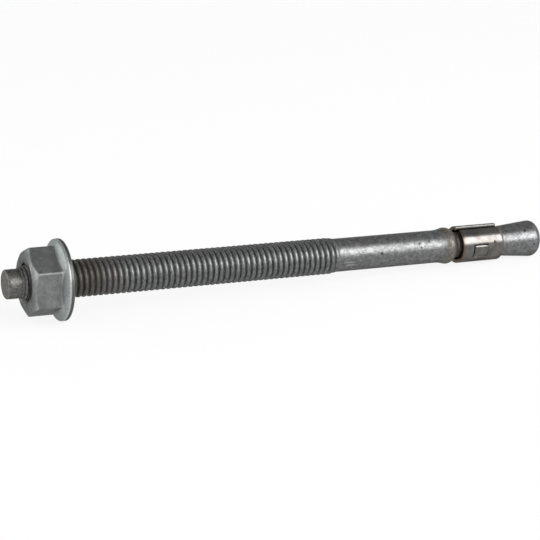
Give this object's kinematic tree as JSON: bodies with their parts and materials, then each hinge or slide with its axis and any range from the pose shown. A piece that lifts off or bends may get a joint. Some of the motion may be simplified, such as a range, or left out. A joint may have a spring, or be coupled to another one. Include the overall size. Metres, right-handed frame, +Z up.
{
  "type": "wedge anchor",
  "caption": "Wedge anchor: threaded steel stud with a tapered expansion end, a split spring clip rolled round its neck and a hexagon flange nut.",
  "frame": {"origin": "Under the middle of the anchor's bounding box, on the surface that it lies on", "axes": "+X runs along the stud from the threaded end to the cone end, which dips by 2.25 degrees because the anchor lies on its flange and its cone; +Z is up"},
  "size_m": [0.1256, 0.017, 0.017],
  "materials": {
    "galvanised_stud": "dull hot-dip galvanised",
    "stainless_clip": "glossy rolled sheet",
    "zinc_nut": "satin zinc plate"
  },
  "bodies": {
    "stud": {"anchor_bolt": "galvanised_stud"},
    "nut": {"flange_nut": "zinc_nut"},
    "clip": {"expansion_clip": "stainless_clip"}
  },
  "joints": [
    {"name": "nut_travel", "type": "slide", "parent": "stud", "child": "nut", "axis": [0.9992, 0, -0.0393], "range_m": [-0.00375, 0.06]},
    {"name": "clip_travel", "type": "slide", "parent": "stud", "child": "clip", "axis": [0.9992, 0, -0.0393], "range_m": [-0.0005, 0]}
  ]
}
